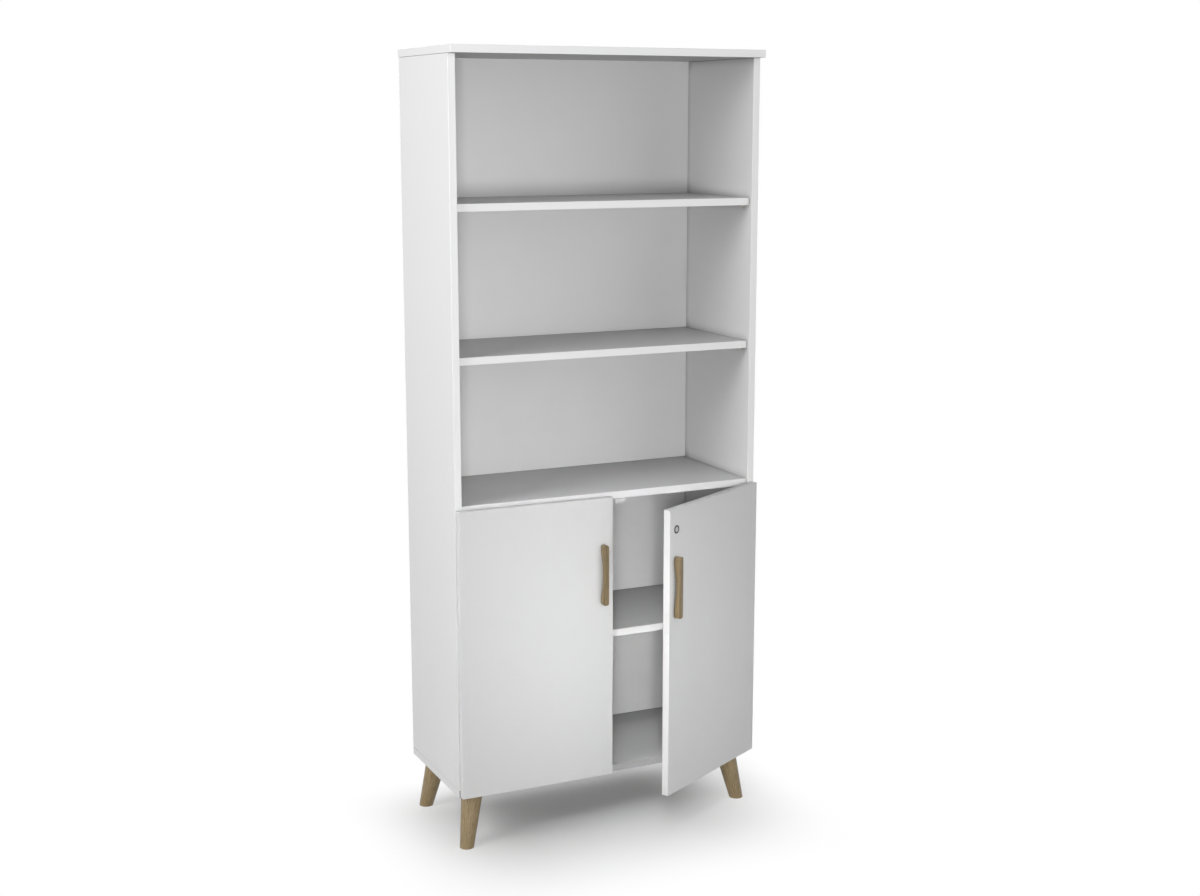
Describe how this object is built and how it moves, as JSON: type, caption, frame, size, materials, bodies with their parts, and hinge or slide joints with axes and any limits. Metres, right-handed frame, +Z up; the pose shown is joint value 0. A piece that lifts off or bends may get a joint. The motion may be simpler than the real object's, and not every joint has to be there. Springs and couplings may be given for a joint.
{
  "type": "office cabinet",
  "caption": "Tall white bookcase cabinet with open shelf bays over a lockable two-door cupboard, wooden bar handles and splayed tapered wooden legs.",
  "frame": {"origin": "centre of the footprint at floor level, with the right door ajar as in the picture", "axes": "+X to the viewer's right, +Y to the back, +Z up; the doors face -Y"},
  "size_m": [0.802, 0.5515, 1.9],
  "materials": {
    "white_board": "white melamine on particleboard, satin",
    "white_back": "white-faced thin fibreboard, matt",
    "oiled_wood": "solid wood, grey-brown matt oil",
    "nickel_steel": "nickel-plated pressed steel",
    "zinc_steel": "zinc-plated steel"
  },
  "bodies": {
    "carcass": {"bottom_panel": "white_board", "left_side_panel": "white_board", "right_side_panel": "white_board", "top_panel": "white_board", "upper_shelf": "white_board", "middle_shelf": "white_board", "fixed_shelf": "white_board", "cupboard_shelf": "white_board", "back_panel": "white_back", "front_left_leg": "oiled_wood", "front_right_leg": "oiled_wood", "rear_left_leg": "oiled_wood", "rear_right_leg": "oiled_wood", "front_left_leg_bolt": "zinc_steel", "front_right_leg_bolt": "zinc_steel", "rear_left_leg_bolt": "zinc_steel", "rear_right_leg_bolt": "zinc_steel", "upper_front_left_shelf_pin": "nickel_steel", "upper_rear_left_shelf_pin": "nickel_steel", "upper_front_right_shelf_pin": "nickel_steel", "upper_rear_right_shelf_pin": "nickel_steel", "middle_front_left_shelf_pin": "nickel_steel", "middle_rear_left_shelf_pin": "nickel_steel", "middle_front_right_shelf_pin": "nickel_steel", "middle_rear_right_shelf_pin": "nickel_steel", "cupboard_front_left_shelf_pin": "nickel_steel", "cupboard_rear_left_shelf_pin": "nickel_steel", "cupboard_front_right_shelf_pin": "nickel_steel", "cupboard_rear_right_shelf_pin": "nickel_steel", "left_lower_hinge_arm": "nickel_steel", "left_upper_hinge_arm": "nickel_steel", "right_lower_hinge_arm": "nickel_steel", "right_upper_hinge_arm": "nickel_steel", "left_lower_hinge_plate": "nickel_steel", "left_upper_hinge_plate": "nickel_steel", "right_lower_hinge_plate": "nickel_steel", "right_upper_hinge_plate": "nickel_steel", "lock_strike": "zinc_steel"},
    "left_leaf": {"left_door": "white_board", "left_handle": "oiled_wood", "left_handle_lower_screw": "zinc_steel", "left_lower_hinge_cup": "nickel_steel", "left_lower_hinge_pin": "zinc_steel", "left_handle_upper_screw": "zinc_steel", "left_upper_hinge_cup": "nickel_steel", "left_upper_hinge_pin": "zinc_steel"},
    "right_leaf": {"right_door": "white_board", "right_handle": "oiled_wood", "right_handle_lower_screw": "zinc_steel", "right_lower_hinge_cup": "nickel_steel", "right_lower_hinge_pin": "zinc_steel", "right_handle_upper_screw": "zinc_steel", "right_upper_hinge_cup": "nickel_steel", "right_upper_hinge_pin": "zinc_steel", "lock_body": "nickel_steel", "lock_nut": "zinc_steel"},
    "lock": {"lock_plug": "nickel_steel", "lock_cam": "zinc_steel", "lock_cam_screw": "zinc_steel"}
  },
  "joints": [
    {"name": "left_door_hinge", "type": "hinge", "parent": "carcass", "child": "left_leaf", "pos_m": [-0.3913, -0.07266, 0.491], "axis": [0, 0, -1], "range_deg": [0, 95]},
    {"name": "right_door_hinge", "type": "hinge", "parent": "carcass", "child": "right_leaf", "pos_m": [0.3913, -0.07266, 0.491], "axis": [0, 0, 1], "range_deg": [-29.25, 65.75]},
    {"name": "lock_turn", "type": "hinge", "parent": "right_leaf", "child": "lock", "pos_m": [0.07893, -0.25677, 0.793], "axis": [0.4886, -0.8725, 0], "range_deg": [0, 90]}
  ]
}
